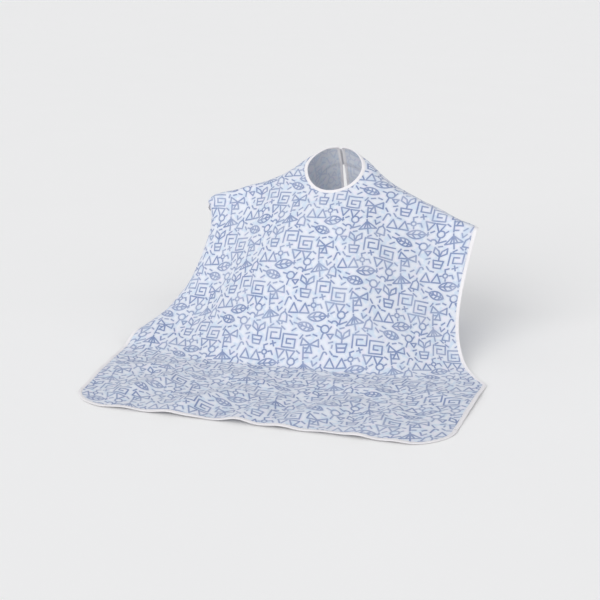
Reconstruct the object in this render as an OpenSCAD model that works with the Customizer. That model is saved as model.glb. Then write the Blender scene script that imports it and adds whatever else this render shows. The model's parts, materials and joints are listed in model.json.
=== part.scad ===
// Cape of light printed cloth. It closes at the nape, covers shoulders and chest,
// and its front lies forward over a table. The origin is the centre of the neck
// opening, +Z is up and the wearer faces -Y.

/* [Neck] */
// Inner radius of the neck opening
neck_r = 62; // [56:1:68]
// Tilt of the neck opening, low at the throat, in degrees
neck_tilt = 36; // [30:1:40]
// Width of the tape round the neck opening
neck_tape_w = 7; // [6:0.5:8]
// Thickness of the tape round the neck opening
neck_tape_t = 3; // [2:0.5:3]

/* [Cloth] */
// Thickness of the cloth
cloth_t = 1.2; // [0.8:0.1:1.4]
// Distance from the middle to a shoulder corner
shoulder_x = 303; // [290:1:315]
// Slope of the wearer's left shoulder, drop over run
left_slope = 0.42; // [0.3:0.01:0.5]
// Slope of the wearer's right shoulder, drop over run
right_slope = 0.33; // [0.3:0.01:0.5]
// Distance from the middle to a corner of the back hem
back_corner_x = 240; // [200:1:260]
// Distance from the neck centre back to the back hem
back_y = 130; // [115:1:135]
// Height by which the wearer's right forearm lifts the cloth
forearm_lift = 30; // [0:5:40]
// Width of the slit down the middle of the back
slit_w = 6; // [5:1:8]

/* [Table end] */
// Height from the table top up to the neck centre
table_drop = 340; // [320:1:360]
// Distance from the neck centre forward to the table edge
bend_y = 292; // [280:1:310]
// Turn of the table edge seen from above, in degrees
bend_turn = 1.7; // [0:0.1:3]
// Distance from the middle to the cloth's side at the table edge
bend_x = 370; // [350:1:385]
// Length of cloth that lies on the table, at the wearer's left
flap_l = 308; // [260:1:320]
// How much shorter it lies at the wearer's right
hem_skew = 36; // [0:1:60]
// Narrowing of the flap towards its hem, each side
flap_shift = 26; // [0:1:40]
// Corner radius of the front hem
hem_r = 62; // [30:1:90]

/* [Edge tape] */
// Width of the tape on the outer edges
tape_w = 7; // [5:0.5:8]
// Thickness of the tape on the outer edges
tape_t = 2.4; // [2:0.1:3]

/* [Closure] */
// Width of the closure tab, measured down the back
tab_w = 24; // [20:1:26]
// Distance that the tab reaches past the middle
tab_reach = 44; // [40:1:46]
// Thickness of the hook patch and of the loop patch
patch_t = 1; // [0.8:0.1:1.2]

/* [Label] */
// Width of the blank care label
label_w = 34; // [25:1:40]
// Length of the care label
label_l = 24; // [15:1:30]

/* [Hidden] */
$fn = 96;
spokes = 84;
rings = 15;
front_angle = 45;
back_angle = 135;
flap_gap = 4;
left_bow = 26;
right_bow = 25;
forearm = [-360, -190];
forearm_r = 70;
flap_taper = 10;
back_drop = 185;
back_depth = 140;
arm_start = 235;
arm_curve = 0.01;
neck_fade = 45;
tab_root_x = 9;
tab_y = 60;
tab_root_lift = 1.6;
lap_gap = 0.4;
loop_lift = cloth_t / 2;
hook_lift = loop_lift + patch_t + lap_gap;
tab_lift = hook_lift + patch_t;
thread_d = 0.5;
ground = "#dfe6f2";
white = "#f6f4f6";

// ---- shape of the draped cloth -------------------------------------------------

function clamp01(t) = min(1, max(0, t));
function mix(a, b, t) = a + (b - a) * t;
function ease(a, b, x) = let (t = clamp01((x - a) / (b - a))) t * t * (3 - 2 * t);
function unit(v) = v / norm(v);
function reversed(v) = [for (i = [len(v) - 1 : -1 : 0]) v[i]];

// Distance forward of the table edge at a place across the cloth
function edge_y(x) = bend_y - x * tan(bend_turn);

// Height of the shoulder line; past arm_start the right side curves down the arm
function ridge_z(x) =
    let (slope = x > 0 ? left_slope : right_slope,
         over = max(-x - arm_start, 0))
    -slope * max(abs(x) - 40, 0) - arm_curve * over * over;

// Fall from the shoulders to the table: nearly straight in the middle, hollow at the sides
function front_fall(x, y) =
    let (t = clamp01(-y / edge_y(x)),
         side = ease(60, 300, abs(x)))
    mix(pow(t, 1.35), 1 - pow(1 - t, 2.2), side);

function front_z(x, y) = mix(ridge_z(x), -table_drop, front_fall(x, y));

function back_z(x, y) = ridge_z(x) - back_drop * pow(y / back_depth, mix(3, 2.2, ease(60, 240, abs(x))));

// Bump over the forearm, which dies out at the table edge
function forearm_z(x, y) =
    forearm_lift * exp(-pow(norm([x, y] - forearm) / forearm_r, 2)) * ease(0, forearm_r, edge_y(x) + y);

function drape_z(x, y) = y < 0 ? front_z(x, y) + forearm_z(x, y) : back_z(x, y);

// Neckline in plan; angle 0 is the throat and 90 the wearer's left
function neck_xy(a, r) = [r * sin(a), -r * cos(neck_tilt) * cos(a)];

function neck_z(p) = tan(neck_tilt) * p[1];

// The neckline lifts or lowers the cloth to the neck ring, and the lift fades outwards
function cloth_z(x, y) =
    let (a = atan2(x, -y / cos(neck_tilt)),
         ring = neck_xy(a, neck_r),
         away = max(norm([x, y]) - norm(ring), 0),
         lift = neck_z(ring) - drape_z(ring[0], ring[1]))
    drape_z(x, y) + lift * exp(-pow(away / neck_fade, 2));

function cloth_normal(x, y) =
    unit([cloth_z(x - 1, y) - cloth_z(x + 1, y), cloth_z(x, y - 1) - cloth_z(x, y + 1), 2]);

// A point above the middle of the cloth by the given lift
function on_cloth(p, lift) = [p[0], p[1], cloth_z(p[0], p[1])] + lift * cloth_normal(p[0], p[1]);

// Side edges in plan, t from the shoulder corner to the table edge
function side_bow(side, t) = side > 0 ? left_bow * sin(180 * t) : right_bow * sin(360 * pow(t, 0.8));
function side_xy(side, t) =
    [side * (mix(shoulder_x, bend_x, t * t) - side_bow(side, t)), -t * edge_y(side * bend_x)];

// Outline of the upper cloth in plan by the angle round the neck
function outline_xy(a) =
    let (side = sign(a), m = abs(a))
    m <= front_angle ? let (x = side * bend_x * m / front_angle) [x, -edge_y(x)]
    : m <= 90 ? side_xy(side, (90 - m) / (90 - front_angle))
    : m <= back_angle ? let (t = (m - 90) / (back_angle - 90))
        [side * mix(shoulder_x, back_corner_x, t * t), back_y * t]
    : let (t = (m - back_angle) / (180 - back_angle))
        [side * mix(back_corner_x, slit_w / 2, t), back_y];

function slit_xy(side, s) = [side * slit_w / 2, mix(neck_r * cos(neck_tilt) + 1, back_y, s)];

// A point of the upper cloth: angle round the neck, and s from the neckline to the outline
function spoke_xy(a, s) =
    abs(a) > 179.9 ? slit_xy(sign(a), s)
    : let (from = neck_xy(a, neck_r + 2), to = outline_xy(a)) from + (to - from) * s;

// ---- meshes --------------------------------------------------------------------

// A closed sheet from two grids of points with the same rows and columns
module sheet(top, bottom) {
    rows = len(top);
    cols = len(top[0]);
    half = rows * cols;
    rim = concat([for (j = [0 : cols - 1]) j],
                 [for (i = [1 : rows - 1]) i * cols + cols - 1],
                 [for (j = [cols - 2 : -1 : 0]) (rows - 1) * cols + j],
                 [for (i = [rows - 2 : -1 : 1]) i * cols]);
    over = [for (i = [0 : rows - 2], j = [0 : cols - 2], k = [0, 1])
            let (a = i * cols + j) k == 0 ? [a, a + cols, a + 1] : [a + 1, a + cols, a + cols + 1]];
    under = [for (f = over) [f[2] + half, f[1] + half, f[0] + half]];
    wall = [for (i = [0 : len(rim) - 1], k = [0, 1])
            let (a = rim[i], b = rim[(i + 1) % len(rim)]) k == 0 ? [a, b, a + half] : [b, b + half, a + half]];
    polyhedron(points = concat([for (r = top) each r], [for (r = bottom) each r]),
               faces = concat(over, under, wall), convexity = 6);
}

// A patch of even thickness over the cloth, between two x and two y, at a lift that may ramp
module patch(x0, x1, y0, y1, lift0, lift1, ramp_end, t, nx = 12, ny = 4) {
    function lift(x) = mix(lift0, lift1, clamp01((x - x0) / (ramp_end - x0)));
    function grid(extra) = [for (i = [0 : nx]) [for (j = [0 : ny])
        let (x = mix(x0, x1, i / nx), y = mix(y0, y1, j / ny)) on_cloth([x, y], lift(x) + extra)]];
    sheet(grid(t), grid(0));
}

// A flat tape swept along an edge of the cloth; inwards points give the way into the cloth
module tape(edge, inwards) {
    n = len(edge);
    rings_at = [for (i = [0 : n - 1])
        let (p = on_cloth(edge[i], 0),
             up = cloth_normal(edge[i][0], edge[i][1]),
             aim = on_cloth(inwards[i], 0) - p,
             into = unit(aim - up * (aim * up)))
        [p - into + up * tape_t / 2, p + into * (tape_w - 1) + up * tape_t / 2,
         p + into * (tape_w - 1) - up * tape_t / 2, p - into - up * tape_t / 2]];
    skin = [for (i = [0 : n - 2], k = [0 : 3])
        let (a = i * 4 + k, b = i * 4 + (k + 1) % 4) each [[a, b, a + 4], [b, b + 4, a + 4]]];
    last = 4 * (n - 1);
    polyhedron(points = [for (r = rings_at) each r],
               faces = concat(skin, [[3, 2, 1, 0], [last, last + 1, last + 2, last + 3]]), convexity = 6);
}

// Stitches in a row along a straight line in plan, on top of the cloth at a lift
module stitch_row(from, to, lift, pitch = 4) {
    count = floor(norm(to - from) / pitch);
    step = (to - from) / count;
    for (i = [0.5 : 1 : count])
        let (p = from + step * i, a = on_cloth(p - step * 0.3, lift), b = on_cloth(p + step * 0.3, lift),
             d = b - a)
        translate(a)
            rotate([0, acos(d[2] / norm(d)), atan2(d[1], d[0])])
                cylinder(d = thread_d, h = norm(d), $fn = 16);
}

// ---- sub-parts -----------------------------------------------------------------

// Cloth over shoulders, chest and upper back, open down the middle of the back
module cape_cloth() {
    function grid(lift) = [for (i = [0 : spokes]) [for (j = [0 : rings])
        on_cloth(spoke_xy(mix(-180, 180, i / spokes), j / rings), lift)]];
    color(ground) sheet(grid(cloth_t / 2), grid(-cloth_t / 2));
}

// A quarter of a round hem corner, from one angle down to the next
function hem_corner(centre, r, from) = [for (a = [from : -15 : from - 90]) centre + r * [cos(a), sin(a)]];

// Round corners and hem of the flap, seen from the table edge: x along the edge, y back
function hem_outline(inset) =
    let (left = bend_x - flap_taper - flap_shift, right = -bend_x - flap_taper + flap_shift)
    concat(hem_corner([left - hem_r, hem_r - flap_l], hem_r - inset, 0),
           hem_corner([right + hem_r, hem_r - flap_l + hem_skew], hem_r - inset, -90));

function flap_outline(inset, back) =
    concat([[-bend_x + inset, back], [bend_x - inset, back]], hem_outline(inset));

module at_table_edge() {
    translate([0, -bend_y, -table_drop])
        rotate([0, 0, bend_turn])
            children();
}

// Front of the same cloth, which lies on the table and folds up at its edge
module table_flap() {
    color(ground)
        at_table_edge()
            translate([0, 0, -cloth_t / 2])
                linear_extrude(cloth_t)
                    polygon(flap_outline(1, -flap_gap));
}

// Folded tape round the flap's sides and hem, level with the underside of the cloth
module flap_binding() {
    color(white)
        at_table_edge()
            translate([0, 0, -cloth_t / 2])
                linear_extrude(tape_t)
                    difference() {
                        polygon(flap_outline(0, -flap_gap));
                        polygon(flap_outline(tape_w, 1));
                    }
}

// Folded tape round the neck opening, open at the nape
module neck_binding() {
    gap_angle = asin(slit_w / 2 / neck_r);
    color(white)
        rotate([neck_tilt, 0, 0])
            rotate([0, 0, 90 + gap_angle])
                rotate_extrude(angle = 360 - 2 * gap_angle)
                    translate([neck_r, -neck_tape_t / 2])
                        square([neck_tape_w, neck_tape_t]);
}

// Folded tape down one side: side edge, back hem and slit up to the neck
module side_binding(side) {
    angles = [for (m = [front_angle + 0.5 : 3.5 : 177]) side * m];
    run = concat([for (a = angles) spoke_xy(a, 1)],
                 [for (s = [0.97 : -0.1 : 0.17]) slit_xy(side, s)]);
    into = concat([for (a = angles) spoke_xy(a, 0.95)],
                  [for (s = [0.97 : -0.1 : 0.17]) slit_xy(side, s) + [side * 10, 0]]);
    color(white)
        if (side > 0) tape(run, into);
        else tape(reversed(run), reversed(into));
}

module left_binding() {
    side_binding(1);
}

module right_binding() {
    side_binding(-1);
}

// Tab sewn to the left wing, which laps over the slit and closes on the right wing
module closure_tab() {
    color(white)
        patch(tab_root_x, -tab_reach, tab_y, tab_y + tab_w, tab_root_lift, tab_lift, -8, cloth_t);
}

// Hook patch under the tab
module hook_patch() {
    color("white")
        patch(-13, -tab_reach + 3, tab_y + 2, tab_y + tab_w - 2, hook_lift, hook_lift, -14, patch_t, nx = 8);
}

// Loop patch on the right wing
module loop_patch() {
    color("#eef0f4")
        patch(-12, -tab_reach - 6, tab_y + 1, tab_y + tab_w - 1, loop_lift, loop_lift, -14, patch_t, nx = 8);
}

// Rectangle of stitches just inside a patch
module stitch_frame(x0, x1, y0, y1, lift) {
    stitch_row([x0, y0], [x1, y0], lift);
    stitch_row([x0, y1], [x1, y1], lift);
    stitch_row([x0, y0], [x0, y1], lift);
    stitch_row([x1, y0], [x1, y1], lift);
}

// Thread that holds the hook patch to the tab, seen on top of the tab
module hook_stitching() {
    color("white")
        stitch_frame(-15, -tab_reach + 5, tab_y + 4, tab_y + tab_w - 4, tab_lift + cloth_t + 0.1);
}

// Thread that holds the loop patch to the right wing, seen inside the cape
module loop_stitching() {
    color("white")
        stitch_frame(-14, -tab_reach - 4, tab_y + 3, tab_y + tab_w - 3, -cloth_t / 2 - 0.2);
}

// Blank label, its top edge sewn inside the back hem
module care_label() {
    color("white")
        patch(70, 70 + label_w, back_y - label_l, back_y - 8, -cloth_t / 2 - 0.8,
              -cloth_t / 2 - 0.8, 75, 0.6, nx = 6);
}

cape_cloth();
table_flap();
neck_binding();
left_binding();
right_binding();
flap_binding();
closure_tab();
hook_patch();
loop_patch();
hook_stitching();
loop_stitching();
care_label();
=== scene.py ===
"""A printed cape of light cloth, worn at a table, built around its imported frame.

Units are metres. +Z is up, the wearer faces -Y and the origin is the centre of the neck opening.
The wearer and the table aren't made: the cloth keeps the shape that they give it.
"""

import itertools
import json
import math

import bpy
import numpy as np
from mathutils import Matrix, Vector
from mathutils.bvhtree import BVHTree
from mathutils.geometry import barycentric_transform, delaunay_2d_cdt


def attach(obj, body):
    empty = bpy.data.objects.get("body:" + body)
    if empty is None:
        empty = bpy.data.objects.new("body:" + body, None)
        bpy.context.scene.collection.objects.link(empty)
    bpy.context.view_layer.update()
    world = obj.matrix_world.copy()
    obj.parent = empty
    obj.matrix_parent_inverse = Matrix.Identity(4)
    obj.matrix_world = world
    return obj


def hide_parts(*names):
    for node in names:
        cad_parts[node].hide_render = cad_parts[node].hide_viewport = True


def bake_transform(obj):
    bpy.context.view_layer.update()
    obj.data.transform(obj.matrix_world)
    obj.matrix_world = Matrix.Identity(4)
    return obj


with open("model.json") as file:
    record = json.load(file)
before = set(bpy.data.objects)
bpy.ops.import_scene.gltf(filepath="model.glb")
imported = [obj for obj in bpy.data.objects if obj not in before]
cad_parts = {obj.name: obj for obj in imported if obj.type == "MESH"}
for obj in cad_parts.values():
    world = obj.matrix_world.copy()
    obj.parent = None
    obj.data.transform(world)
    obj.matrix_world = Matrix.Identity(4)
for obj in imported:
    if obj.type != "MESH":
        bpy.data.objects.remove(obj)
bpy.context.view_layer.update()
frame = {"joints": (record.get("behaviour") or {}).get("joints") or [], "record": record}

# ---- what the frame says ----

JOINTS = {joint["name"]: joint for joint in frame["joints"]}
MOUNTS = {mount["name"]: mount for mount in frame["record"]["mounts"]}
NECK_R = MOUNTS["neck_opening"]["dims"]["r_mm"] / 1000
NECK_AXIS = MOUNTS["neck_opening"]["axis"]
NECK_TILT = math.atan2(-NECK_AXIS[1], NECK_AXIS[2])
HINGE = Vector(JOINTS["flap_lift"]["pos_m"])
HINGE_AXIS = Vector(JOINTS["flap_lift"]["axis"])
TABLE_Z = HINGE.z
BEND_TURN = math.atan2(HINGE_AXIS.y, HINGE_AXIS.x) % math.pi

# ---- the shape that the cloth is worn in ----

BEND_Y = -HINGE.y - 0.002
SHOULDER_X = 0.303
BEND_X = 0.370
BACK_CORNER_X = 0.240
BACK_Y = 0.130
LEFT_SLOPE, RIGHT_SLOPE = 0.42, 0.33
SLOPE_START = 0.040
LEFT_BOW, RIGHT_BOW = 0.026, 0.025
ARM_START, ARM_CURVE = 0.262, 22.0
BACK_DROP, BACK_DEPTH = 0.185, 0.140
NECK_FADE = 0.045
FOREARM, FOREARM_R, FOREARM_LIFT = (-0.360, -0.190), 0.070, 0.030
FLAP_L, HEM_SKEW, FLAP_TAPER, FLAP_SHIFT = 0.308, 0.036, 0.010, 0.026


def mix(a, b, t):
    return a + (b - a) * t


def ease(a, b, x):
    t = np.clip((x - a) / (b - a), 0, 1)
    return t * t * (3 - 2 * t)


def edge_y(x):
    """Distance forward of the table edge."""
    return BEND_Y - x * math.tan(BEND_TURN)


def arm_drop(x):
    """How far the wearer's right side curves down over the arm."""
    return ARM_CURVE * np.maximum(-x - ARM_START, 0) ** 2


def ridge_z(x):
    """Height of the shoulder line."""
    slope = np.where(x > 0, LEFT_SLOPE, RIGHT_SLOPE)
    return -slope * np.maximum(np.abs(x) - SLOPE_START, 0) - arm_drop(x)


def drape_z(x, y):
    """Height of the worn cloth over its place in plan, before the neckline pulls at it."""
    t = np.clip(-y / edge_y(x), 0, 1)
    fall = mix(t ** 1.35, 1 - (1 - t) ** 2.2, ease(0.060, 0.300, np.abs(x)))
    away = ((x - FOREARM[0]) ** 2 + (y - FOREARM[1]) ** 2) / FOREARM_R ** 2
    bump = FOREARM_LIFT * np.exp(-away) * ease(0, FOREARM_R, edge_y(x) + y)
    front = mix(ridge_z(x), TABLE_Z, fall) + bump
    power = mix(3.0, 2.2, ease(0.060, 0.240, np.abs(x)))
    back = ridge_z(x) - BACK_DROP * (np.maximum(y, 0) / BACK_DEPTH) ** power
    return np.where(y < 0, front, back)


def cloth_z(x, y):
    """Height of the worn cloth round the tilted neck ring, and of the ring's plane inside it."""
    x, y = np.asarray(x, float), np.asarray(y, float)
    angle = np.arctan2(x, -y / math.cos(NECK_TILT))
    ring_x, ring_y = NECK_R * np.sin(angle), -NECK_R * math.cos(NECK_TILT) * np.cos(angle)
    away = np.hypot(x, y) - np.hypot(ring_x, ring_y)
    lift = math.tan(NECK_TILT) * ring_y - drape_z(ring_x, ring_y)
    outside = drape_z(x, y) + lift * np.exp(-(np.maximum(away, 0) / NECK_FADE) ** 2)
    return np.where(away < 0, math.tan(NECK_TILT) * y, outside)


# ---- the flat cut, laid out on the worn shape ----

# u runs across to the wearer's left and v to the back; (0, 0) is the neck centre.
SHOULDER_U = {1: 0.313, -1: 0.330}
BEND_U = 0.372
HEM_U = {1: 0.340, -1: 0.360}
BACK_U = 0.345
BOW_SHARE = 0.7
HEM_V, HEM_CURVE = 0.752, 0.055
HEM_R = 0.062
NECK_CUT_R = NECK_R + 0.001
SLIT = 0.003
CELL = 0.010


def lengths(points):
    """Distance of each point of a polyline from its first one, along it."""
    return np.concatenate([[0], np.cumsum(np.linalg.norm(np.diff(points, axis=0), axis=1))])


def even_steps(points, steps):
    """Points at equal distances along a polyline, and its length."""
    s = lengths(points)
    even = np.linspace(0, s[-1], steps)
    return np.stack([np.interp(even, s, points[:, k]) for k in range(points.shape[1])], -1), s[-1]


def side_bow(t, side):
    """How far a side edge swings inwards between the shoulder corner and the table edge."""
    return LEFT_BOW * np.sin(np.pi * t) if side > 0 else RIGHT_BOW * np.sin(2 * np.pi * t ** 0.8)


def place_columns(count=161, steps=240):
    """Lines of the cloth from the shoulder line to the table edge and to the back hem."""
    betas = np.linspace(-1, 1, count)
    t = np.linspace(0, 1, steps)
    front, back, front_len, back_len = [], [], [], []
    for beta in betas:
        side = 1 if beta >= 0 else -1
        share = abs(beta)
        x = side * share * (mix(SHOULDER_X, BEND_X, t * t) - side_bow(t, side))
        points, length = even_steps(np.stack([x, -t * edge_y(x), cloth_z(x, -t * edge_y(x))], -1), steps)
        front.append(points)
        front_len.append(length)
        x = side * share * mix(SHOULDER_X, BACK_CORNER_X, t * t)
        points, length = even_steps(np.stack([x, BACK_Y * t, cloth_z(x, BACK_Y * t)], -1), steps)
        back.append(points)
        back_len.append(length)
    shoulder = betas * SHOULDER_X
    ridge_v = np.minimum(cloth_z(shoulder, 0 * betas) + arm_drop(shoulder), 0)
    return betas, np.array(front), np.array(back), ridge_v, np.array(front_len), np.array(back_len)


BETAS, FRONT, BACK, RIDGE_V, FRONT_LEN, BACK_LEN = place_columns()
SIDE_RIDGE_V = {1: RIDGE_V[-1], -1: RIDGE_V[0]}
SIDE_BEND_V = {1: RIDGE_V[-1] - FRONT_LEN[-1], -1: RIDGE_V[0] - FRONT_LEN[0]}
SIDE_BACK_LEN = {1: BACK_LEN[-1], -1: BACK_LEN[0]}


def half_width(v, side):
    """Half of the cut's width at v, on one side."""
    ridge, bend = SIDE_RIDGE_V[side], SIDE_BEND_V[side]
    t = np.clip((ridge - v) / (ridge - bend), 0, 1)
    front = mix(SHOULDER_U[side], BEND_U, t) - BOW_SHARE * side_bow(t, side)
    flap = mix(BEND_U, HEM_U[side], np.clip((bend - v) / (bend + HEM_V), 0, 1))
    back = mix(SHOULDER_U[side], BACK_U, np.clip((v - ridge) / SIDE_BACK_LEN[side], 0, 1) ** 2)
    return np.where(v > ridge, back, np.where(v > bend, front, flap))


def hem_v(beta):
    return -HEM_V - HEM_CURVE * beta ** 2


def back_hem_v(beta):
    return np.interp(beta, BETAS, RIDGE_V + BACK_LEN)


def sample(table, row, col):
    """Bilinear look-up in a table of points by fractional row and column."""
    r0 = np.clip(np.floor(row).astype(int), 0, table.shape[0] - 2)
    c0 = np.clip(np.floor(col).astype(int), 0, table.shape[1] - 2)
    fr, fc = (row - r0)[:, None], (col - c0)[:, None]
    return ((table[r0, c0] * (1 - fc) + table[r0, c0 + 1] * fc) * (1 - fr)
            + (table[r0 + 1, c0] * (1 - fc) + table[r0 + 1, c0 + 1] * fc) * fr)


def wear(uv):
    """Places flat points (u, v) on the worn shape."""
    u, v = uv[:, 0], uv[:, 1]
    width = np.where(u >= 0, half_width(v, 1), half_width(v, -1))
    beta = np.clip(u / width, -1, 1)
    row = (beta + 1) / 2 * (len(BETAS) - 1)
    steps = FRONT.shape[1] - 1
    ridge = np.interp(beta, BETAS, RIDGE_V)
    down = np.interp(beta, BETAS, FRONT_LEN)
    up = np.interp(beta, BETAS, BACK_LEN)
    before = sample(FRONT, row, np.clip((ridge - v) / down, 0, 1) * steps)
    behind = sample(BACK, row, np.clip((v - ridge) / up, 0, 1) * steps)
    hung = np.where((v > ridge)[:, None], behind, before)
    # past the table edge the cloth lies flat and narrows a little to the hem
    past = np.maximum(ridge - down - v, 0) / (ridge - down - hem_v(beta))
    hem_x = np.where(beta > 0, BEND_X - FLAP_TAPER - FLAP_SHIFT, BEND_X + FLAP_TAPER - FLAP_SHIFT) * beta
    hem_y = -FLAP_L + HEM_SKEW * (1 - beta) / 2
    x, y = mix(BEND_X * beta, hem_x, past), hem_y * past
    c, s = math.cos(BEND_TURN), math.sin(BEND_TURN)
    lying = np.stack([x * c - y * s, x * s + y * c - BEND_Y, np.full(len(x), TABLE_Z)], -1)
    return np.where((past > 0)[:, None], lying, hung)


def run(points, step=CELL):
    """Points at even steps along a polyline, its last point left off."""
    points = np.array(points, float)
    length = np.linalg.norm(np.diff(points, axis=0), axis=1).sum()
    return even_steps(points, max(1, round(length / step)) + 1)[0][:-1]


def arc(centre, r, a0, a1, n=24):
    a = np.linspace(a0, a1, n)
    return np.stack([centre[0] + r * np.cos(a), centre[1] + r * np.sin(a)], -1)


def hem_corner(side):
    """Centre of a round corner of the front hem, and the hem's slope where the corner starts."""
    slope, width = 0.0, HEM_U[side]
    for _ in range(6):
        meets_u = width - HEM_R + HEM_R * math.sin(slope)
        slope = -math.atan(2 * HEM_CURVE * meets_u / HEM_U[side] ** 2)
        centre_v = float(hem_v(meets_u / HEM_U[side])) + HEM_R * math.cos(slope)
        width = float(half_width(centre_v, side))
    return (side * (width - HEM_R), centre_v), slope


def flat_outline():
    """The cut's outline as named stretches, going round anticlockwise from the nape."""
    def side_edge(side, v0, v1, n=90):
        v = np.linspace(v0, v1, n)
        return np.stack([side * half_width(v, side), v], -1)

    def back_hem(side, n=60):
        u = np.linspace(SLIT, BACK_U, n)
        return np.stack([side * u, back_hem_v(side * u / BACK_U)], -1)

    def front_hem(u0, u1, n=80):
        u = np.linspace(u0, u1, n)
        return np.stack([u, hem_v(u / np.where(u > 0, HEM_U[1], HEM_U[-1]))], -1)

    gap = math.asin(SLIT / NECK_CUT_R)
    nape_v = NECK_CUT_R * math.cos(gap)
    right, right_slope = hem_corner(-1)
    left, left_slope = hem_corner(1)
    right_arc = arc(right, HEM_R, math.pi, 1.5 * math.pi - right_slope)
    left_arc = arc(left, HEM_R, 1.5 * math.pi + left_slope, 2 * math.pi)
    right_hem, left_hem = back_hem(-1), back_hem(1)
    return {
        "neck": arc((0, 0), NECK_CUT_R, math.pi / 2 - gap, gap - 1.5 * math.pi, n=200),
        "right_slit": np.array([[-SLIT, nape_v], right_hem[0]]),
        "right_back": right_hem,
        "right_side": side_edge(-1, right_hem[-1, 1], right[1]),
        "right_corner": right_arc,
        "hem": front_hem(right_arc[-1, 0], left_arc[0, 0]),
        "left_corner": left_arc,
        "left_side": side_edge(1, left[1], left_hem[-1, 1]),
        "left_back": left_hem[::-1],
        "left_slit": np.array([left_hem[0], [SLIT, nape_v]]),
    }


def inside(points, polygon):
    x, y = points[:, 0], points[:, 1]
    hit = np.zeros(len(points), bool)
    for (x0, y0), (x1, y1) in zip(polygon, np.roll(polygon, -1, 0)):
        if y0 != y1:
            hit ^= ((y0 > y) != (y1 > y)) & (x < (x1 - x0) * (y - y0) / (y1 - y0) + x0)
    return hit


def cut_cloth():
    """Flat points and triangles of the cut."""
    rim = np.concatenate([run(line) for line in OUTLINE.values()])
    rows = np.arange(rim[:, 1].min(), rim[:, 1].max(), CELL * math.sqrt(3) / 2)
    grid = np.array([[u, v] for i, v in enumerate(rows)
                     for u in np.arange(-0.40 + (i % 2) * CELL / 2, 0.40, CELL)])
    grid = grid[inside(grid, rim)]
    clear = np.array([np.hypot(*(rim - g).T).min() for g in grid])
    points = np.concatenate([rim, grid[clear > 0.62 * CELL]])
    made = delaunay_2d_cdt([Vector(p) for p in points], [], [list(range(len(rim)))], 1, 1e-6)
    return np.array([list(p) for p in made[0]]), [tuple(f) for f in made[2]]


OUTLINE = flat_outline()
flat, triangles = cut_cloth()


def read(items, name, width=1, kind=float):
    """One property of all points or corners of a mesh, as rows of the given width."""
    values = np.zeros(len(items) * width, kind)
    items.foreach_get(name, values)
    return values.reshape(-1, width) if width > 1 else values


def move_points(piece, co):
    piece.data.vertices.foreach_set("co", np.ravel(co))
    piece.data.update()


def new_object(name, data):
    made = bpy.data.objects.new(name, data)
    bpy.context.scene.collection.objects.link(made)
    return made


def mesh_object(name, points, faces, uv=None, materials=()):
    """A smooth mesh object. uv has one pair for each point, in metres of flat cloth."""
    mesh = bpy.data.meshes.new(name)
    mesh.from_pydata([tuple(p) for p in points], [], [tuple(f) for f in faces])
    if uv is not None:
        corners = read(mesh.loops, "vertex_index", kind=int)
        layer = mesh.uv_layers.new(name="flat")
        layer.data.foreach_set("uv", np.asarray(uv)[corners].astype(np.float32).ravel())
    mesh.polygons.foreach_set("use_smooth", [True] * len(mesh.polygons))
    for material in materials:
        mesh.materials.append(material)
    mesh.update()
    return new_object(name, mesh)


# ---- materials ----

class Net:
    """Adds nodes to a tree. A value given to a node is a socket or a constant."""

    def __init__(self, tree):
        self.tree = tree

    def put(self, value, socket):
        if isinstance(value, bpy.types.NodeSocket):
            self.tree.links.new(value, socket)
        else:
            socket.default_value = value

    def node(self, kind, inputs=(), **settings):
        made = self.tree.nodes.new(kind)
        for name, value in settings.items():
            setattr(made, name, value)
        for key, value in dict(inputs).items():
            self.put(value, made.inputs[key])
        return made

    def surface(self, **values):
        """Gives the material's shader its values."""
        for name, value in values.items():
            self.put(value, self.tree.nodes["Principled BSDF"].inputs[name.replace("_", " ")])

    def math(self, operation, a, b=0.0):
        return self.node("ShaderNodeMath", {0: a, 1: b}, operation=operation).outputs[0]

    def vector(self, operation, a, b=(0, 0, 0)):
        made = self.node("ShaderNodeVectorMath", {0: a, 1: b}, operation=operation)
        return made.outputs["Value" if operation in ("DOT_PRODUCT", "DISTANCE") else "Vector"]

    def scaled(self, a, by):
        return self.node("ShaderNodeVectorMath", {0: a, 3: by}, operation="SCALE").outputs[0]

    def split(self, a):
        return self.node("ShaderNodeSeparateXYZ", {0: a}).outputs

    def noise(self, place, size, detail=2.0, roughness=0.5):
        """Noise from 0 to 1 with features of about the given size, in the units of place."""
        made = self.node("ShaderNodeTexNoise", {"Vector": place, "Scale": 1 / size, "Detail": detail,
                                                "Roughness": roughness})
        return made.outputs[0]

    def remap(self, value, a, b, c, d, smooth=False):
        return self.node("ShaderNodeMapRange", {0: value, 1: a, 2: b, 3: c, 4: d},
                         interpolation_type="SMOOTHSTEP" if smooth else "LINEAR").outputs[0]

    def blend(self, share, a, b):
        made = self.node("ShaderNodeMix", data_type="RGBA")
        for index, value in ((0, share), (6, a), (7, b)):
            self.put(value, made.inputs[index])
        return made.outputs[2]

    def bump(self, height, strength, distance, under=None):
        inputs = {"Height": height, "Strength": strength, "Distance": distance}
        if under is not None:
            inputs["Normal"] = under
        return self.node("ShaderNodeBump", inputs).outputs[0]


# The print: line drawings in millimetres that repeat on rows, each row half a repeat along.
REPEAT_X, REPEAT_Y = 166.0, 101.0
PRINT_SCALE = 1.03
PRINT_SHIFT = (34.0, -3.0)
LINE_CORE, LINE_EDGE = 1.15, 1.95
ANCHORS = ((0, 0), (REPEAT_X / 2, 0), (0, REPEAT_Y / 2), (REPEAT_X / 2, REPEAT_Y / 2))


def path(*numbers):
    """Straight strokes from point to point. Each two numbers are a point."""
    points = list(zip(numbers[::2], numbers[1::2]))
    return [("line", a, b) for a, b in zip(points, points[1:])]


def closed(*numbers):
    return path(*numbers, *numbers[:2])


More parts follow.
